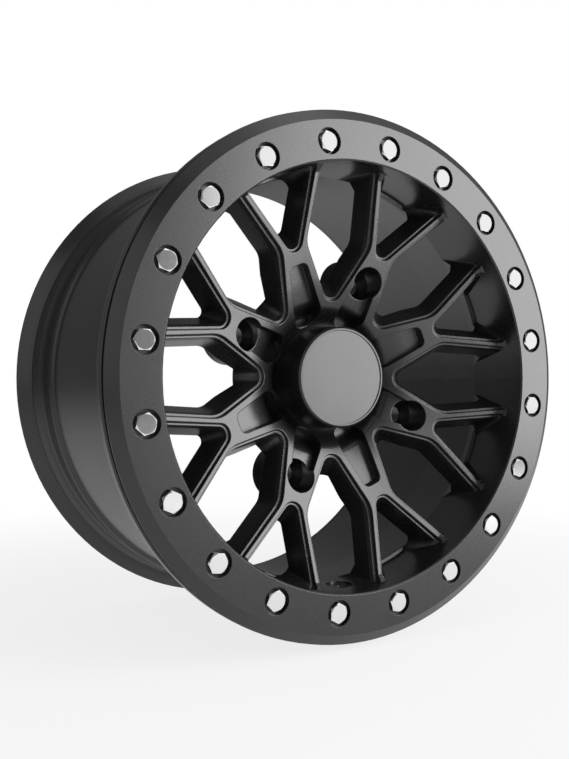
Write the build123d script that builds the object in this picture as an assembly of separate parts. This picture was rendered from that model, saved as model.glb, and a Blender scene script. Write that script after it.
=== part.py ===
from build123d import *
import math
import os

os.makedirs("parts", exist_ok=True)

# A cast beadlock wheel for an off-road vehicle, 14 inch, four lug holes on 156 mm.
# Frame: millimetres, Z up, the wheel turns about Y, the outboard face looks along -Y.
# The origin is on the axis, in the plane of the four pads that seat on the vehicle's hub.
# Angles round the wheel are clockwise from the top as seen from the outboard side.

# Beadlock ring and its bolts
BOLT_CIRCLE_R = 166.0
BOLT_COUNT = 20
BOLT_PHASE = -10.4
RING_FACE_Y = -76.0
RING_IN_W = 13.4
RING_FACE_W = 15.0
RING_CHAMFER_W = 7.9
RING_CHAMFER_H = 6.6
RING_EDGE_H = 1.0
RING_T = 10.0
RING_SEAT_W = 11.5
RING_LIP_GAP = 3.2
RING_BEVEL = 1.0
CBORE_D = 18.7
BOLT_D = 8.0
BOLT_AF = 13.0
BOLT_HEAD_H = 5.3
BOLT_FACE_IN = 0.35
BOLT_CHAMFER_ANGLE = 30.0
BOLT_LEN = 24.0
BOLT_CLEAR = 0.5
THREAD_CLEAR = 0.1
BOLT_HOLE_EXTRA = 2.5
BOLT_TURN = 22.0

# Front clamping flange and barrel
FLANGE_STEP = 1.1
FLANGE_T = 6.5
FLANGE_EDGE = 1.0
FLANGE_ROOT_H = 7.5
FLANGE_ROOT_T = 22.0
WELL_WALL = 12.9
WELL_Y0 = -32.0
WELL_Y1 = 2.0
HUMP_H = 9.1
HUMP_Y = 92.0
SEAT_H = 6.8
SEAT_Y = 113.0
SEAT_RISE = 2.5
SEAT_END_Y = 129.0
BEAD_WALL_H = 5.2
BEAD_WALL_Y = 130.0
LIP_ROOT_H = 5.0
LIP_ROOT_Y = 133.0
LIP_H = 7.4
LIP_Y = 139.3
LIP_BACK_Y = 142.5
LIP_EDGE = 1.0
LIP_W = 10.4
BARREL_STEP = 1.0
BARREL_BAND_Y = -21.0
BARREL_MID_RISE = 6.4
BARREL_MID_Y = 26.0
BARREL_MID_STEP = 1.0
BARREL_BACK_RISE = 16.9
BARREL_BACK_Y = 121.0

# Spoke web: a shallow cone in front, with arms of one thickness and a tapered hub behind
SPOKES = 8
CONE_REF_R = 98.6
CONE_REF_Y = -42.8
CONE_SLOPE = 0.26
WEB_BACK_Y = -21.0
WEB_NECK_R = 93.0
ARM_T = 19.5
ARM_FLARE_W = 10.6
ARM_HEEL_W = 3.4
ARM_HEEL_H = 10.2
ARM_FOOT_W = 4.6
ARM_FOOT_H = 3.5
WEB_OVERLAP = 3.0
HUB_TAPER_W = 6.0
HUB_NECK_Y = -19.0
HUB_WALL = 4.0
HUB_BACK_Y = -6.0
BOWL_LOW_Y = -19.5
BOWL_LAND = 4.0
BOWL_RUN = 7.5
BOWL_ROUND = 9.5
BOWL_FILLET = 5.7

# Large windows, between the spokes
WIN_TIP_R = 48.3
WIN_TIP_ANGLE = 29.8
WIN_TIP_FILLET = 9.3
WIN_BACK_FILLET = 7.5
WIN_SHOULDER_R = 97.7
WIN_SHOULDER_FILLET = 22.0
WIN_TOE_IN = 3.66

# Small windows, between the two arms of a spoke
VEE_TIP_R = 86.5
VEE_ANGLE = 26.1
VEE_TIP_FILLET = 8.4
VEE_BACK_FILLET = 4.0

# The step all round each window
STEP_H = 2.2
STEP_RUN = 0.7
LEDGE_W = 1.5
FACET_H = 3.2
FACET_RUN = 1.4
WALL_DRAFT = 16.0
WIN_WALL_H = 31.0
VEE_WALL_H = 21.0
END_FILLET = 4.0
END_FILLET_GROWTH = 0.2
END_FILLET_SHARE = 0.5
END_CLEAR = 2.0
CUT_ABOVE = 12.0

# Pockets down the middle of the spokes
POCKET_OUT_R = 88.0
POCKET_OUT_HALF = 7.6
POCKET_LAND = 2.5
POCKET_IN_HALF = 13.6
POCKET_OUT_FILLET = 5.0
POCKET_IN_FILLET = 11.0
POCKET_DEPTH = 7.5
POCKET_TURN = 6.0
POCKET_RUN = 6.5
POCKET_SINK = 4.0
POCKET_CUT_H = 60.0

# Lug holes and the hub's back
LUG_PCD = 156.0
LUG_COUNT = 4
LUG_PHASE = 22.5
LUG_CBORE_D = 23.9
LUG_HOLE_D = 14.5
LUG_SEAT_Y = -20.0
LUG_SEAT_ANGLE = 60.0
LUG_BOSS_R = 21.0
LUG_BOSS_DRAFT = 10.5
LUG_BOSS_TOP_Y = -32.0
LUG_BOSS_CHAMFER = 1.5
HUB_BORE_R = 66.0
HUB_BORE_DEPTH = 12.0

# Centre bore and cap
CAP_BORE_R = 36.0
CAP_R = 37.3
CAP_FLARE = 1.7
CAP_FACE_Y = -47.6
CAP_RIM_W = 2.6
CAP_BEVEL = 1.3
CAP_RECESS = 0.7
CAP_WALL = 2.6
CAP_CLEAR = 0.2
CAP_SPIGOT_L = 7.0

# How far a cutter runs past the face it opens
CUT_PAST = 1.0

# Valve hole in the front of the barrel
VALVE_ANGLE = 179.7
VALVE_Y = -42.0
VALVE_SPOT_D = 20.0
VALVE_SPOT_DEPTH = 1.6
VALVE_HOLE_Y = -46.0
VALVE_D = 11.5
VALVE_CUT_IN = 4.0


# Radii that follow from the bolt circle
ring_in_r = BOLT_CIRCLE_R - RING_IN_W
ring_face_r = BOLT_CIRCLE_R + RING_FACE_W
ring_out_r = ring_face_r + RING_CHAMFER_W
ring_seat_r = BOLT_CIRCLE_R + RING_SEAT_W
flange_r = ring_out_r + FLANGE_STEP
barrel_in_r = ring_in_r + BARREL_STEP
well_r = barrel_in_r + WELL_WALL
seat_end_r = well_r + SEAT_H + SEAT_RISE
bead_wall_r = seat_end_r + BEAD_WALL_H
lip_root_r = bead_wall_r + LIP_ROOT_H
lip_r = lip_root_r + LIP_H


def rounded(corners):
    """A flat face from (x, y, radius) corners; a zero radius leaves a corner sharp."""
    count = len(corners)
    joints = []
    for i in range(count):
        x, y, rad = corners[i]
        here = Vector(x, y)
        to_prev = (Vector(*corners[i - 1][:2]) - here).normalized()
        to_next = (Vector(*corners[(i + 1) % count][:2]) - here).normalized()
        half = math.acos(max(-1.0, min(1.0, to_prev.dot(to_next)))) / 2
        if rad <= 0:
            joints.append((here, None, here))
            continue
        run = rad / math.tan(half)
        middle = here + (to_prev + to_next).normalized() * (rad / math.sin(half) - rad)
        joints.append((here + to_prev * run, middle, here + to_next * run))
    edges = []
    for i in range(count):
        start, middle, end = joints[i]
        if middle is not None:
            edges.append(ThreePointArc(start, middle, end))
        edges.append(Line(end, joints[(i + 1) % count][0]))
    return make_face(edges)


def turned(points):
    """A solid turned about Y from (radius, y) points, some with a corner radius too."""
    return revolve(rounded([(*point, 0)[:3] for point in points]), Axis.Y)


def cone_y(r):
    """Where the spokes' front face stands at radius r."""
    return CONE_REF_Y - CONE_SLOPE * (r - CONE_REF_R)


CONE_TILT = math.degrees(math.atan(CONE_SLOPE))
CONE_COS = math.cos(math.radians(CONE_TILT))
CONE_SIN = math.sin(math.radians(CONE_TILT))
# A plane lying on the spokes' front face at the top of the wheel, x across and y outward
FACE_PLANE = Plane(
    origin=(0, CONE_REF_Y, CONE_REF_R),
    x_dir=(1, 0, 0),
    z_dir=(0, -CONE_COS, -CONE_SIN),
)


def up_face(r, depth=0.0):
    """A radius as a distance up the tilted plane, on a copy of it depth below the face."""
    return (r - CONE_REF_R - depth * CONE_SIN) / CONE_COS


def window_end(half_width, depth):
    """The three outer corners of a window, just beyond the barrel's inner wall."""
    end_r = barrel_in_r + END_CLEAR
    corner_y = up_face(math.sqrt(end_r**2 - half_width**2), depth)
    fillet = min(END_FILLET + END_FILLET_GROWTH * depth, END_FILLET_SHARE * half_width)
    return [
        (half_width, corner_y, fillet),
        (0, up_face(end_r, depth), 0),
        (-half_width, corner_y, fillet),
    ]


def large_window(inset, depth, tip_fillet):
    """Outline of a large window, drawn in by inset, on the plane depth below the face."""
    lean = math.tan(math.radians(WIN_TIP_ANGLE))
    toe = math.tan(math.radians(WIN_TOE_IN))
    tip = up_face(WIN_TIP_R) + inset / math.sin(math.radians(WIN_TIP_ANGLE))
    # the straight side beside an arm, moved in by the same distance as the slanted one
    side_y = up_face(WIN_SHOULDER_R)
    side_x = (side_y - up_face(WIN_TIP_R)) * lean - inset / math.cos(math.radians(WIN_TOE_IN))
    shoulder_y = (side_x + side_y * toe + tip * lean) / (lean + toe)
    shoulder_x = (shoulder_y - tip) * lean
    end_x = side_x - (up_face(barrel_in_r, depth) - side_y) * toe
    return rounded([
        (0, tip, tip_fillet),
        (shoulder_x, shoulder_y, WIN_SHOULDER_FILLET - inset),
        *window_end(end_x, depth),
        (-shoulder_x, shoulder_y, WIN_SHOULDER_FILLET - inset),
    ])


def vee_window(inset, depth, tip_fillet):
    """Outline of a small window between two arms, drawn in by inset."""
    lean = math.radians(VEE_ANGLE)
    tip = up_face(VEE_TIP_R) + inset / math.sin(lean)
    # where the slanted side meets the barrel's wall
    end_y = up_face(barrel_in_r, depth)
    end_x = (end_y - tip) * math.tan(lean)
    end_y = up_face(math.sqrt(barrel_in_r**2 - end_x**2), depth)
    end_x = (end_y - tip) * math.tan(lean)
    return rounded([
        (0, tip, tip_fillet),
        *window_end(end_x, depth),
    ])


def window_cutter(outline, wall_h, tip_fillet, back_fillet):
    """One window's hole: the step, the facet below the ledge, then the drafted wall."""
    ledge = STEP_RUN + LEDGE_W
    facet = ledge + FACET_RUN
    back = facet + wall_h * math.tan(math.radians(WALL_DRAFT))
    wall_top = STEP_H + FACET_H

    def tier(inset, depth, fillet):
        return FACE_PLANE.offset(-depth) * outline(inset, depth, fillet)

    face = tier(0, 0, tip_fillet)
    wall_rim = tier(facet, wall_top, tip_fillet - facet)
    above = extrude(face, -CUT_ABOVE, dir=-FACE_PLANE.z_dir)
    step = loft([face, tier(STEP_RUN, STEP_H, tip_fillet - STEP_RUN)], ruled=True)
    bevel = loft([tier(ledge, STEP_H, tip_fillet - ledge), wall_rim], ruled=True)
    wall = loft([wall_rim, tier(back, wall_top + wall_h, back_fillet)], ruled=True)
    return above + step + bevel + wall


def around(shape, count, phase):
    """Copies of a shape made at the top, set round the axis."""
    return [Rot(0, phase + 360 / count * k, 0) * shape for k in range(count)]


def along_y(r, y0, y1, at_r=0.0):
    """A round bar along Y from y0 to y1, its centre at_r above the axis."""
    circle = Plane(origin=(0, y0, at_r), x_dir=(1, 0, 0), z_dir=(0, 1, 0)) * Circle(r)
    return extrude(circle, y1 - y0)


# The wheel casting's barrel, with the front flange and the rear lip
ring_back_y = RING_FACE_Y + RING_T
barrel_mid_r = barrel_in_r + BARREL_MID_RISE
barrel = turned([
    (barrel_in_r, ring_back_y),
    (flange_r - FLANGE_EDGE, ring_back_y),
    (flange_r, ring_back_y + FLANGE_EDGE),
    (flange_r, ring_back_y + FLANGE_T),
    (well_r + FLANGE_ROOT_H, ring_back_y + FLANGE_ROOT_T),
    (well_r, WELL_Y0),
    (well_r, WELL_Y1),
    (well_r + HUMP_H, HUMP_Y),
    (well_r + SEAT_H, SEAT_Y),
    (seat_end_r, SEAT_END_Y),
    (bead_wall_r, BEAD_WALL_Y),
    (lip_root_r, LIP_ROOT_Y),
    (lip_r, LIP_Y),
    (lip_r - LIP_EDGE, LIP_BACK_Y),
    (lip_r - LIP_W, LIP_BACK_Y),
    (barrel_in_r + BARREL_BACK_RISE, BARREL_BACK_Y),
    (barrel_mid_r + BARREL_MID_STEP, BARREL_MID_Y + BARREL_MID_STEP),
    (barrel_mid_r, BARREL_MID_Y),
    (barrel_in_r, BARREL_BAND_Y),
])

# The spoke web as a dished disc, then its windows
web_out_r = barrel_in_r + WEB_OVERLAP
arm_foot_r = barrel_in_r - ARM_FOOT_W
arm_flare_r = barrel_in_r - ARM_FLARE_W
hub_bore_floor = -HUB_BORE_DEPTH
hub_back_r = HUB_BORE_R + HUB_WALL
cap_foot_r = CAP_R + CAP_FLARE
bowl_low_r = cap_foot_r + BOWL_LAND
bowl_top_r = bowl_low_r + BOWL_RUN
web = turned([
    (CAP_BORE_R, BOWL_LOW_Y),
    (bowl_low_r, BOWL_LOW_Y, BOWL_FILLET),
    (bowl_top_r, cone_y(bowl_top_r), BOWL_ROUND),
    (arm_foot_r, cone_y(arm_foot_r)),
    (barrel_in_r, cone_y(barrel_in_r) - ARM_FOOT_H),
    (web_out_r, cone_y(barrel_in_r) - ARM_FOOT_H),
    (web_out_r, BARREL_BAND_Y),
    (barrel_in_r, BARREL_BAND_Y),
    (barrel_in_r - ARM_HEEL_W, BARREL_BAND_Y - ARM_HEEL_H),
    (arm_flare_r, cone_y(arm_flare_r) + ARM_T),
    (WEB_NECK_R, WEB_BACK_Y),
    (hub_back_r + HUB_TAPER_W, HUB_NECK_Y),
    (hub_back_r, HUB_BACK_Y),
    (HUB_BORE_R, HUB_BACK_Y),
    (HUB_BORE_R, hub_bore_floor),
    (CAP_BORE_R, hub_bore_floor),
])
half_spoke = 180 / SPOKES
large_cutter = window_cutter(large_window, WIN_WALL_H, WIN_TIP_FILLET, WIN_BACK_FILLET)
vee_cutter = window_cutter(vee_window, VEE_WALL_H, VEE_TIP_FILLET, VEE_BACK_FILLET)
web -= around(large_cutter, SPOKES, 0)
web -= around(vee_cutter, SPOKES, half_spoke)

# Lug bosses behind the spokes, then the pockets and the lug holes
lug_r = LUG_PCD / 2
boss_h = -LUG_BOSS_CHAMFER - LUG_BOSS_TOP_Y
boss_thin = LUG_BOSS_R - boss_h * math.tan(math.radians(LUG_BOSS_DRAFT))
boss = turned([
    (0, LUG_BOSS_TOP_Y),
    (boss_thin, LUG_BOSS_TOP_Y),
    (LUG_BOSS_R, -LUG_BOSS_CHAMFER),
    (LUG_BOSS_R - LUG_BOSS_CHAMFER, 0),
    (0, 0),
])
boss = Pos(0, 0, lug_r) * boss - along_y(HUB_BORE_R, LUG_BOSS_TOP_Y, 0)
casting = barrel + web + around(boss, LUG_COUNT, LUG_PHASE)

pocket_plan = Plane(origin=(0, 0, 0), x_dir=(1, 0, 0), z_dir=(0, -1, 0)) * rounded([
    (-POCKET_OUT_HALF, POCKET_OUT_R, POCKET_OUT_FILLET),
    (POCKET_OUT_HALF, POCKET_OUT_R, POCKET_OUT_FILLET),
    (POCKET_IN_HALF, cap_foot_r + POCKET_LAND, POCKET_IN_FILLET),
    (-POCKET_IN_HALF, cap_foot_r + POCKET_LAND, POCKET_IN_FILLET),
])
pocket_low_y = BOWL_LOW_Y + POCKET_SINK
pocket_top_r = bowl_top_r + POCKET_TURN
pocket_floor = turned([
    (0, pocket_low_y),
    (pocket_top_r - POCKET_RUN, pocket_low_y, BOWL_FILLET),
    (pocket_top_r, cone_y(pocket_top_r) + POCKET_DEPTH, BOWL_ROUND),
    (web_out_r, cone_y(web_out_r) + POCKET_DEPTH),
    (web_out_r, 0),
    (0, 0),
])
pocket = extrude(pocket_plan, POCKET_CUT_H) - pocket_floor
casting -= around(pocket, SPOKES, half_spoke)

seat_h = (LUG_CBORE_D - LUG_HOLE_D) / 2 / math.tan(math.radians(LUG_SEAT_ANGLE / 2))
lug_half = LUG_CBORE_D / 2
lug_hole = turned([
    (0, cone_y(lug_r) - lug_half),
    (lug_half, cone_y(lug_r) - lug_half),
    (lug_half, LUG_SEAT_Y),
    (LUG_HOLE_D / 2, LUG_SEAT_Y + seat_h),
    (LUG_HOLE_D / 2, CUT_PAST),
    (0, CUT_PAST),
])
casting -= around(Pos(0, 0, lug_r) * lug_hole, LUG_COUNT, LUG_PHASE)

# Tapped holes for the ring's bolts and the valve hole
bolt_seat_y = RING_FACE_Y + BOLT_HEAD_H
tap_end = bolt_seat_y + BOLT_LEN + BOLT_HOLE_EXTRA
tapped = along_y(BOLT_D / 2 + THREAD_CLEAR, ring_back_y - CUT_PAST, tap_end, BOLT_CIRCLE_R)
casting -= around(tapped, BOLT_COUNT, BOLT_PHASE)

valve_start = barrel_in_r - VALVE_CUT_IN
spot = Pos(0, VALVE_Y, valve_start) * extrude(Circle(VALVE_SPOT_D / 2), VALVE_CUT_IN + VALVE_SPOT_DEPTH)
valve = Pos(0, VALVE_HOLE_Y, valve_start) * extrude(Circle(VALVE_D / 2), flange_r - valve_start)
casting -= [Rot(0, VALVE_ANGLE, 0) * spot, Rot(0, VALVE_ANGLE, 0) * valve]

# The beadlock ring, clamped on the casting's front face
lip_back_y = ring_back_y - RING_LIP_GAP
ring = turned([
    (ring_in_r, RING_FACE_Y + RING_BEVEL),
    (ring_in_r + RING_BEVEL, RING_FACE_Y),
    (ring_face_r, RING_FACE_Y),
    (ring_out_r, RING_FACE_Y + RING_CHAMFER_H - RING_EDGE_H),
    (ring_out_r, lip_back_y),
    (ring_seat_r, lip_back_y),
    (ring_seat_r, ring_back_y),
    (ring_in_r, ring_back_y),
])
ring_hole = along_y(CBORE_D / 2, RING_FACE_Y - CUT_PAST, bolt_seat_y, BOLT_CIRCLE_R)
ring_hole += along_y(BOLT_D / 2 + BOLT_CLEAR, bolt_seat_y - CUT_PAST, ring_back_y + CUT_PAST, BOLT_CIRCLE_R)
ring -= around(ring_hole, BOLT_COUNT, BOLT_PHASE)

# One hexagon bolt with a coned chamfer on its corners, then the twenty
hexagon = RegularPolygon(BOLT_AF / 2, 6, major_radius=False)
head = extrude(Plane(origin=(0, bolt_seat_y, 0), z_dir=(0, -1, 0)) * hexagon, BOLT_HEAD_H)
bolt_face_r = BOLT_AF / 2 - BOLT_FACE_IN
head &= turned([
    (0, RING_FACE_Y),
    (bolt_face_r, RING_FACE_Y),
    (bolt_face_r + BOLT_HEAD_H / math.tan(math.radians(BOLT_CHAMFER_ANGLE)), bolt_seat_y),
    (0, bolt_seat_y),
])
bolt = head + along_y(BOLT_D / 2, bolt_seat_y, bolt_seat_y + BOLT_LEN)
bolts = around(Pos(0, 0, BOLT_CIRCLE_R) * Rot(0, BOLT_TURN, 0) * bolt, BOLT_COUNT, BOLT_PHASE)

# The tall centre cap, a hollow cup with a plain spigot in the casting's bore
spigot_r = CAP_BORE_R - CAP_CLEAR
cap_floor_y = CAP_FACE_Y + CAP_RECESS
cap = turned([
    (0, cap_floor_y),
    (CAP_R - CAP_RIM_W, cap_floor_y),
    (CAP_R - CAP_RIM_W, CAP_FACE_Y),
    (CAP_R - CAP_BEVEL, CAP_FACE_Y),
    (CAP_R, CAP_FACE_Y + CAP_BEVEL),
    (cap_foot_r, BOWL_LOW_Y),
    (spigot_r, BOWL_LOW_Y),
    (spigot_r, BOWL_LOW_Y + CAP_SPIGOT_L),
    (spigot_r - CAP_WALL, BOWL_LOW_Y + CAP_SPIGOT_L),
    (spigot_r - CAP_WALL, cap_floor_y + CAP_WALL),
    (0, cap_floor_y + CAP_WALL),
])

export_step(casting, "parts/wheel_casting.step")
export_step(ring, "parts/beadlock_ring.step")
export_step(Compound(bolts), "parts/beadlock_bolts.step")
export_step(cap, "parts/centre_cap.step")
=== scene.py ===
import math

import bpy
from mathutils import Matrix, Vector


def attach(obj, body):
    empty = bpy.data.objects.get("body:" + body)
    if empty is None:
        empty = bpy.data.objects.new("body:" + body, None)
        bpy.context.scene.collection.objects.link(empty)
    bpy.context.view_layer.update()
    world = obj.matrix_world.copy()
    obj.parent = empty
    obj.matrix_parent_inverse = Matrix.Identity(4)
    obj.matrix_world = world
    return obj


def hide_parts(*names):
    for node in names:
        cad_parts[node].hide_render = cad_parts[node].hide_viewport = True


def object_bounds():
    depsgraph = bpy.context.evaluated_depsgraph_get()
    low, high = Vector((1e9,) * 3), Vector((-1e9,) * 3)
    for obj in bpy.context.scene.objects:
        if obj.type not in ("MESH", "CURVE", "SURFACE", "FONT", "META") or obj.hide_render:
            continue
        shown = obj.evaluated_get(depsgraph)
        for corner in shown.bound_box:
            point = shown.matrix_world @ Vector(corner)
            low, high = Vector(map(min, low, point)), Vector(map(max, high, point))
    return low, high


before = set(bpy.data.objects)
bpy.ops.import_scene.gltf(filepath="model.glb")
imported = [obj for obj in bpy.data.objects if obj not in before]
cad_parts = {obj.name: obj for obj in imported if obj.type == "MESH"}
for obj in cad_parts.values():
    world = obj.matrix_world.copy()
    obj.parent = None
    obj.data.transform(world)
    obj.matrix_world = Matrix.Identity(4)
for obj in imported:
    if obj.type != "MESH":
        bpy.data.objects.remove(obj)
cad_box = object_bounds()
scene = bpy.context.scene
scene.view_settings.view_transform = "Standard"


# Wheel casting: hub, eight split spokes, barrel and rear lip, poured in one piece of aluminium
# and turned where the tyre and the ring seat. A satin black powder coat covers it, with a fine
# grain and softly rounded edges. The other pieces are bolted or pressed into it.
class Value:
    """A number inside a node tree; arithmetic on it adds Math nodes."""

    def __init__(self, nodes, socket):
        self.nodes = nodes
        self.socket = socket

    def maths(self, operation, first, second):
        return self.nodes.node("ShaderNodeMath", {"operation": operation}, {0: first, 1: second})

    def __add__(self, other):
        return self.maths("ADD", self, other)

    def __radd__(self, other):
        return self.maths("ADD", other, self)

    def __sub__(self, other):
        return self.maths("SUBTRACT", self, other)

    def __rsub__(self, other):
        return self.maths("SUBTRACT", other, self)

    def __mul__(self, other):
        return self.maths("MULTIPLY", self, other)

    def __rmul__(self, other):
        return self.maths("MULTIPLY", other, self)

    def __truediv__(self, other):
        return self.maths("DIVIDE", self, other)

    def __rtruediv__(self, other):
        return self.maths("DIVIDE", other, self)

    def at_least(self, other):
        return self.maths("MAXIMUM", self, other)


class Nodes:
    """Makes the nodes of one tree; a list of values goes into a socket that takes several."""

    def __init__(self, tree):
        self.tree = tree

    def feed(self, socket, value):
        if isinstance(value, list):
            for one in value:
                self.feed(socket, one)
        elif isinstance(value, Value):
            self.tree.links.new(value.socket, socket)
        else:
            socket.default_value = value

    def node(self, kind, settings=None, sockets=None, output=0):
        made = self.tree.nodes.new(kind)
        for name, value in (settings or {}).items():
            setattr(made, name, value)
        for key, value in (sockets or {}).items():
            self.feed(made.inputs[key], value)
        return Value(self, made.outputs[output])

    def length(self, vector):
        settings = {"operation": "LENGTH"}
        return self.node("ShaderNodeVectorMath", settings, {0: vector}, output="Value")


class Finish(Nodes):
    """A surface finish: a Principled shader and what varies over the surface."""

    def __init__(self, name, **constants):
        self.material = bpy.data.materials.new(name)
        self.material.use_nodes = True
        super().__init__(self.material.node_tree)
        self.shader = self.tree.nodes["Principled BSDF"]
        self.place = self.node("ShaderNodeTexCoord", output="Object")
        self.set(**constants)

    def set(self, **inputs):
        for key, value in inputs.items():
            self.feed(self.shader.inputs[key.replace("_", " ")], value)

    def noise(self, size, detail=2.0):
        """Noise from 0 to 1 with patches of about that size in metres."""
        sockets = {"Vector": self.place, "Scale": 1 / size, "Detail": detail}
        return self.node("ShaderNodeTexNoise", {}, sockets)

    def varied(self, middle, *spreads):
        """A middle value that each noise moves up and down by half its spread."""
        for noise, spread in spreads:
            middle = middle + (noise - 0.5) * spread
        return middle

    def blend(self, first, second, amount):
        """A colour between two, by an amount from 0 to 1."""
        sockets = {0: amount, 6: (*first, 1), 7: (*second, 1)}
        return self.node("ShaderNodeMix", {"data_type": "RGBA"}, sockets, output=2)

    def relief(self, height, edge_radius):
        """Relief, with its height in metres, on top of rounded edges."""
        rounded = self.node("ShaderNodeBevel", {"samples": 8}, {"Radius": edge_radius})
        sockets = {"Height": height, "Distance": 1.0, "Strength": 1.0, "Normal": rounded}
        return self.node("ShaderNodeBump", {}, sockets)

    def dished(self, rim_r, curve_r):
        """How far a soft dish round the axle sinks below its rim."""
        settings = {"operation": "MULTIPLY"}
        across = self.node("ShaderNodeVectorMath", settings, {0: self.place, 1: (1, 0, 1)})
        inside = (rim_r - self.length(across)).at_least(0.0)
        return inside * inside / (2 * curve_r)

    def wear_on(self, node_name):
        """Puts the finish on a CAD node as it stands."""
        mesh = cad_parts[node_name].data
        mesh.materials.clear()
        mesh.materials.append(self.material)


DEEP_BLACK = (0.009, 0.009, 0.0095)
PALE_BLACK = (0.013, 0.013, 0.0135)
COAT_IOR = 1.6
PATCH_SIZE = 0.03
PATCH_SHINE = 0.06
GRAIN_SIZE = 0.0009
GRAIN_SHINE = 0.05


def black_coat(name, roughness, grain_depth, edge_radius, dish=None):
    """A satin black coat: two near blacks in soft patches over a fine grain."""
    coat = Finish(name, Metallic=0.0, IOR=COAT_IOR)
    patches = coat.noise(PATCH_SIZE, detail=3.0)
    grain = coat.noise(GRAIN_SIZE)
    height = grain * grain_depth
    if dish:
        height = height - coat.dished(*dish)
    coat.set(
        Base_Color=coat.blend(DEEP_BLACK, PALE_BLACK, patches),
        Roughness=coat.varied(roughness, (patches, PATCH_SHINE), (grain, GRAIN_SHINE)),
        Normal=coat.relief(height, edge_radius),
    )
    return coat


# The spokes' faces sink towards the bowl round the cap in one soft curve.
HUB_DISH_R = 0.076
HUB_DISH_CURVE = 0.095
COAT_ROUGHNESS = 0.28
COAT_GRAIN_DEPTH = 0.00001
CASTING_EDGE_R = 0.0010
casting_coat = black_coat(
    "casting_black_coat", COAT_ROUGHNESS, COAT_GRAIN_DEPTH, CASTING_EDGE_R,
    dish=(HUB_DISH_R, HUB_DISH_CURVE),
)
casting_coat.wear_on("wheel_casting")


# Rear bead seat: the band of the casting behind the barrel where the tyre's inner bead sits,
# turned between a low hump and the foot of the rear lip. It is part of the casting and wears the
# same coat; here it is a turned skin over the casting's plainer barrel.
SEAT_TURNS = 240
SEAT_SHARP_FROM = math.radians(40)
SEAT_PROFILE = (
    (0.0890, 0.1735), (0.0893, 0.1750), (0.0902, 0.1756), (0.0916, 0.1770), (0.0928, 0.1782),
    (0.0939, 0.1787), (0.0952, 0.1785), (0.0966, 0.1777), (0.0985, 0.1772), (0.1030, 0.1770),
    (0.1185, 0.1769), (0.1206, 0.1771), (0.1220, 0.1779), (0.1236, 0.1795), (0.1248, 0.1804),
    (0.1262, 0.1808), (0.1300, 0.1816), (0.1312, 0.1830), (0.1312, 0.1735),
)


def turned_ring(name, profile, turns):
    """A closed profile of (depth, radius) points turned once round the axle."""
    steps = len(profile)
    corners = []
    for turn in range(turns):
        angle = 2 * math.pi * turn / turns
        corners += [(r * math.sin(angle), y, r * math.cos(angle)) for y, r in profile]
    faces = []
    for turn in range(turns):
        here, beyond = turn * steps, (turn + 1) % turns * steps
        for step in range(steps):
            after = (step + 1) % steps
            faces.append((here + step, beyond + step, beyond + after, here + after))
    mesh = bpy.data.meshes.new(name)
    mesh.from_pydata(corners, [], faces)
    ring = bpy.data.objects.new(name, mesh)
    scene.collection.objects.link(ring)
    return ring


bead_seat = turned_ring("rear_bead_seat", SEAT_PROFILE, SEAT_TURNS)
bead_seat.data.materials.append(casting_coat.material)
bead_seat.data.shade_smooth()
bead_seat.data.set_sharp_from_angle(angle=SEAT_SHARP_FROM)
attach(bead_seat, "root")


# Beadlock ring: the flat ring that clamps the tyre's outer bead, turned from aluminium and
# coated like the casting. The lathe leaves its edges crisper than the foundry does.
RING_EDGE_R = 0.0004
ring_coat = black_coat("ring_black_coat", COAT_ROUGHNESS, COAT_GRAIN_DEPTH, RING_EDGE_R)
ring_coat.wear_on("beadlock_ring")


# Centre cap: a tall cup moulded in black plastic and pressed into the hub's bore, with a shallow
# recess in its face. Its satin is a little duller than the coat on the metal, and finer.
CAP_ROUGHNESS = 0.30
CAP_GRAIN_DEPTH = 0.000008
CAP_EDGE_R = 0.0006
cap_satin = black_coat("cap_satin_black", CAP_ROUGHNESS, CAP_GRAIN_DEPTH, CAP_EDGE_R)
cap_satin.wear_on("centre_cap")


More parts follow.
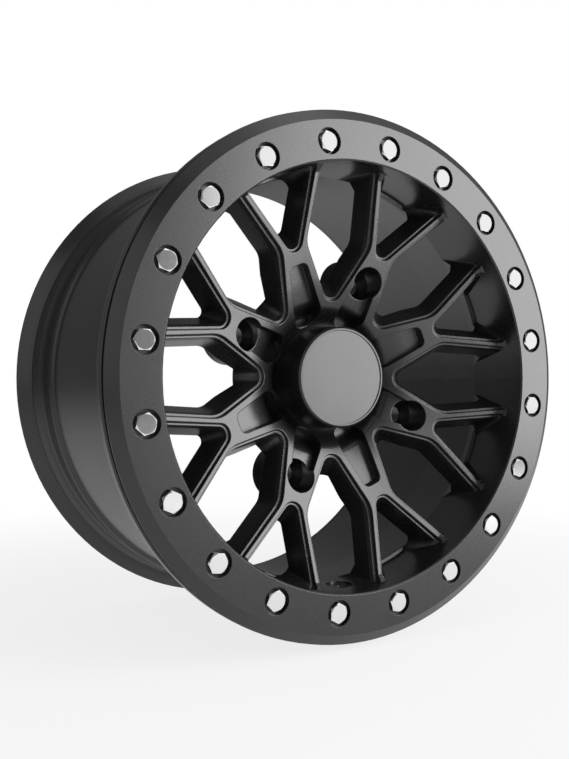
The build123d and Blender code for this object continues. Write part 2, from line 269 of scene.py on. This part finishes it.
# Ring bolts: twenty bright plated hexagon bolts that clamp the ring to the casting's flange.
# Each head is sunk in a counterbore until it is flush with the ring, and has the usual coned
# chamfer that takes off its corners.
class Recipe(Nodes):
    """A Geometry Nodes tree with named inputs that is run once and leaves a plain mesh."""

    def __init__(self, name):
        super().__init__(bpy.data.node_groups.new(name, "GeometryNodeTree"))
        self.entry = self.tree.nodes.new("NodeGroupInput")
        self.values = {}

    def given(self, name, value, kind="NodeSocketFloat"):
        """A named input of the tree and what it is on this wheel."""
        socket = self.tree.interface.new_socket(name, in_out="INPUT", socket_type=kind)
        self.values[socket.identifier] = value
        return Value(self, self.entry.outputs[name])

    def vector(self, x, y, z):
        return self.node("ShaderNodeCombineXYZ", {}, {0: x, 1: y, 2: z})

    def bar(self, sides, low_r, high_r, height):
        """A straight or tapered bar that stands on the origin."""
        sockets = {"Vertices": sides, "Radius Bottom": low_r, "Radius Top": high_r, "Depth": height}
        return self.node("GeometryNodeMeshCone", {}, sockets)

    def joined(self, operation, *meshes):
        settings = {"operation": operation, "solver": "EXACT"}
        return self.node("GeometryNodeMeshBoolean", settings, {"Mesh 2": list(meshes)})

    def moved(self, mesh, by, turn):
        sockets = {"Geometry": mesh, "Translation": by, "Rotation": turn}
        return self.node("GeometryNodeTransform", {}, sockets)

    def piece(self, name, shape):
        """Runs the tree and returns an object that holds its mesh."""
        self.tree.interface.new_socket("Shape", in_out="OUTPUT", socket_type="NodeSocketGeometry")
        self.feed(self.tree.nodes.new("NodeGroupOutput").inputs[0], shape)
        made = bpy.data.objects.new(name, bpy.data.meshes.new(name))
        scene.collection.objects.link(made)
        steps = made.modifiers.new(name, "NODES")
        steps.node_group = self.tree
        for identifier, value in self.values.items():
            steps[identifier] = value
        result = made.evaluated_get(bpy.context.evaluated_depsgraph_get())
        mesh = bpy.data.meshes.new_from_object(result)
        made.modifiers.remove(steps)
        made.data = mesh
        return made


DEEP_PLATE = (0.83, 0.83, 0.83)
PALE_PLATE = (0.88, 0.88, 0.87)
PLATE_ROUGHNESS = 0.14
MOTTLE_SIZE = 0.004
MOTTLE_SHINE = 0.06
SCRATCH_SIZE = 0.0006
SCRATCH_SHINE = 0.05
SCRATCH_DEPTH = 0.000002
BOLT_EDGE_R = 0.00025
plated = Finish("bright_plated_steel", Metallic=1.0)
mottle = plated.noise(MOTTLE_SIZE, detail=3.0)
scratch = plated.noise(SCRATCH_SIZE)
plated.set(
    Base_Color=plated.blend(DEEP_PLATE, PALE_PLATE, mottle),
    Roughness=plated.varied(PLATE_ROUGHNESS, (mottle, MOTTLE_SHINE), (scratch, SCRATCH_SHINE)),
    Normal=plated.relief(scratch * SCRATCH_DEPTH, BOLT_EDGE_R),
)

recipe = Recipe("ring_bolts")
count = recipe.given("Count", 20, "NodeSocketInt")
circle_r = recipe.given("Bolt circle radius", 0.166)
first_angle = recipe.given("First angle", math.radians(-10.4))
head_turn = recipe.given("Turn of each head", math.radians(22.0))
seat_y = recipe.given("Seat under the heads", -0.0707)
across_flats = recipe.given("Across flats", 0.013)
face_across = recipe.given("Across the face", 0.0123)
head_height = recipe.given("Head height", 0.0053)
chamfer_slope = recipe.given("Chamfer slope", math.tan(math.radians(30)))
shank_r = recipe.given("Shank radius", 0.004)
shank_length = recipe.given("Shank length", 0.024)
shank_root = recipe.given("Shank inside the head", 0.001)
finish = recipe.given("Finish", plated.material, "NodeSocketMaterial")

CHAMFER_SIDES = 48
SHANK_SIDES = 32
HALF_A_FLAT = math.radians(30)
corner_r = across_flats / (2 * math.cos(HALF_A_FLAT))
hexagon = recipe.bar(6, corner_r, corner_r, head_height)
face_r = face_across / 2
chamfer_foot_r = face_r + head_height / chamfer_slope
chamfer = recipe.bar(CHAMFER_SIDES, chamfer_foot_r, face_r, head_height)
head = recipe.joined("INTERSECT", hexagon, chamfer)
shank = recipe.bar(SHANK_SIDES, shank_r, shank_r, shank_length + shank_root)
shank = recipe.moved(shank, recipe.vector(0, 0, 0 - shank_length), (0, 0, 0))
bolt = recipe.joined("UNION", head, shank)

# The bolts stand on a flat circle, each turned alike, and the circle is then set upright.
places = recipe.node("GeometryNodeMeshCircle", {}, {"Vertices": count, "Radius": circle_r})
along = recipe.node("GeometryNodeInputIndex") * (2 * math.pi / count)
facing = recipe.vector(0, 0, along + HALF_A_FLAT - head_turn)
sockets = {"Points": places, "Instance": bolt, "Rotation": facing}
bolts = recipe.node("GeometryNodeInstanceOnPoints", {}, sockets)
upright = recipe.vector(math.pi / 2, first_angle - math.pi / 2, 0)
bolts = recipe.moved(bolts, recipe.vector(0, seat_y, 0), upright)
bolts = recipe.node("GeometryNodeRealizeInstances", {}, {"Geometry": bolts})
bolts = recipe.node("GeometryNodeSetMaterial", {}, {"Geometry": bolts, "Material": finish})

BOLT_SHARP_FROM = math.radians(20)
ring_bolts = recipe.piece("ring_bolts", bolts)
ring_bolts.data.shade_smooth()
ring_bolts.data.set_sharp_from_angle(angle=BOLT_SHARP_FROM)
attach(ring_bolts, "root")
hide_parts("beadlock_bolts")


# Floor: matt pale paint under the wheel that takes its soft shadow. To the camera it runs out
# into the white background. Where the coat mirrors it, the floor near the wheel glows white, a
# painted reflection that lifts the shade under the wheel on the lower lip; the glow fades with
# distance.
WHITE = (1.0, 1.0, 1.0, 1.0)
PALE_PAINT = (0.85, 0.85, 0.85, 1.0)
FLOOR_R = 3.0
SEEN_WHITE = 0.8
SHADOW_FROM, SHADOW_TO = 0.25, 0.8
# Strength of the painted glow that mirrored rays see on the floor near the wheel.
MIRRORED_GLOW = 0.62
MIRRORED_FROM, MIRRORED_TO = 0.2, 1.6


def met_by(nodes, kind):
    """1 for a ray of that kind, such as the camera's own, and 0 for any other."""
    return nodes.node("ShaderNodeLightPath", output="Is %s Ray" % kind)


def eased(nodes, value, start, end):
    """Rises smoothly from 0 to 1 as a value goes from start to end."""
    settings = {"interpolation_type": "SMOOTHSTEP"}
    return nodes.node("ShaderNodeMapRange", settings, {0: value, 1: start, 2: end})


floor_z = cad_box[0][2]
bpy.ops.mesh.primitive_circle_add(
    vertices=96, radius=FLOOR_R, fill_type="NGON", location=(0, 0, floor_z)
)
floor = bpy.context.object
floor.name = "floor"
paint = Finish("floor_paint", Base_Color=PALE_PAINT, Roughness=0.9, Specular_IOR_Level=0.0)
from_middle = paint.length(paint.place)
past_shadow = eased(paint, from_middle, SHADOW_FROM, SHADOW_TO)
far_off = eased(paint, from_middle, MIRRORED_FROM, MIRRORED_TO)
in_view = met_by(paint, "Camera") * (SEEN_WHITE + (1 - SEEN_WHITE) * past_shadow)
in_mirror = met_by(paint, "Glossy").at_least(met_by(paint, "Transmission"))
# Painted reflection: mirrored rays see the floor near the wheel glowing white, fading with
# distance; the camera sees the white backdrop.
glow_share = in_mirror * MIRRORED_GLOW * (1 - far_off) + in_view
lit_paint = Value(paint, paint.shader.outputs[0])
white_glow = paint.node("ShaderNodeEmission", {}, {"Color": WHITE, "Strength": 1.0})
mixed = paint.node("ShaderNodeMixShader", {}, {0: glow_share, 1: lit_paint, 2: white_glow})
paint.feed(paint.tree.nodes["Material Output"].inputs["Surface"], mixed)
floor.data.materials.append(paint.material)


# Room: white behind the wheel to the camera. Reflections show it white in front and to the right
# and grey to the left and behind, and its soft light on everything is dimmer.
ROOM_LIGHT = 0.35
ROOM_GREY = 0.17
WHITE_FROM = math.radians(24.7)
TO_THE_RIGHT = (math.cos(WHITE_FROM), math.sin(WHITE_FROM), 0)
RIGHT_EDGE = 0.02
TO_THE_FRONT = (0, -1, 0)
FRONT_EDGE = 0.3
scene.world = bpy.data.worlds.new("studio")
scene.world.use_nodes = True
room = Nodes(scene.world.node_tree)
look = room.node("ShaderNodeTexCoord", output="Generated")


def ahead(direction, edge):
    """Rises from 0 to 1 as the look turns towards a direction, over a soft edge."""
    sockets = {0: look, 1: direction}
    settings = {"operation": "DOT_PRODUCT"}
    cosine = room.node("ShaderNodeVectorMath", settings, sockets, output="Value")
    return eased(room, cosine, -edge, edge)


white_part = ahead(TO_THE_RIGHT, RIGHT_EDGE) * ahead(TO_THE_FRONT, FRONT_EDGE)
mirrored = met_by(room, "Glossy")
shown = met_by(room, "Camera").at_least(met_by(room, "Transmission"))
room_mirrored = mirrored * (white_part * (1 - ROOM_GREY) + ROOM_GREY)
room_light = shown + room_mirrored + (1 - shown - mirrored) * ROOM_LIGHT
room.feed(room.tree.nodes["Background"].inputs["Strength"], room_light)
room.feed(room.tree.nodes["Background"].inputs["Color"], WHITE)


# Lamps: one large softbox to the right and weak ones in front, to the left and above. The two in
# front leave out the bolts, which would only mirror them as pure white.
def softbox(name, place, aim, size, glow):
    """A soft lamp; a glow of 1 shines as bright as a white wall looks."""
    width, height = size
    lamp = bpy.data.lights.new(name, "AREA")
    lamp.shape = "RECTANGLE"
    lamp.size = width
    lamp.size_y = height
    lamp.energy = math.pi * width * height * glow
    box = bpy.data.objects.new(name, lamp)
    box.location = place
    box.rotation_euler = (Vector(place) - Vector(aim)).to_track_quat("Z", "Y").to_euler()
    box.visible_camera = False
    scene.collection.objects.link(box)
    return box


key = softbox("key", (0.806, -0.891, 0.33), aim=(0, -0.08, 0.33), size=(0.86, 1.04), glow=5.8)
front = softbox("front_fill", (0.25, -1.25, 0.3), aim=(0, -0.08, 0.3), size=(0.5, 0.9), glow=0.7)
softbox("left_fill", (-1.2, -0.5, 0.5), aim=(0, 0, 0), size=(1.0, 1.2), glow=0.65)
softbox("top_fill", (0.0, -0.2, 1.5), aim=(0, 0, 0), size=(1.2, 1.2), glow=0.45)
kept_dim = bpy.data.collections.new("kept_dim")
kept_dim.objects.link(ring_bolts)
for lamp in (key, front):
    lamp.light_linking.receiver_collection = kept_dim
kept_dim.collection_objects[0].light_linking.link_state = "EXCLUDE"


# Camera: where the photograph was taken from, level with the axle and 30 degrees to the left of
# it. The focal length is in pixels of the photograph's frame.
EYE = Vector((-0.3522, -0.5709, -0.0071))
VIEW_AZIMUTH = 30.04
VIEW_ELEVATION = 0.49
FRAME_H = 759
FOCAL_PIXELS = 853.9
lens = bpy.data.cameras.new("photo_view")
lens.sensor_fit = "VERTICAL"
lens.sensor_height = 36.0
lens.lens = lens.sensor_height * FOCAL_PIXELS / FRAME_H
lens.clip_start = 0.01
camera = bpy.data.objects.new("photo_view", lens)
camera.location = EYE
camera.rotation_euler = (math.radians(90 + VIEW_ELEVATION), 0, math.radians(-VIEW_AZIMUTH))
scene.collection.objects.link(camera)
scene.camera = camera
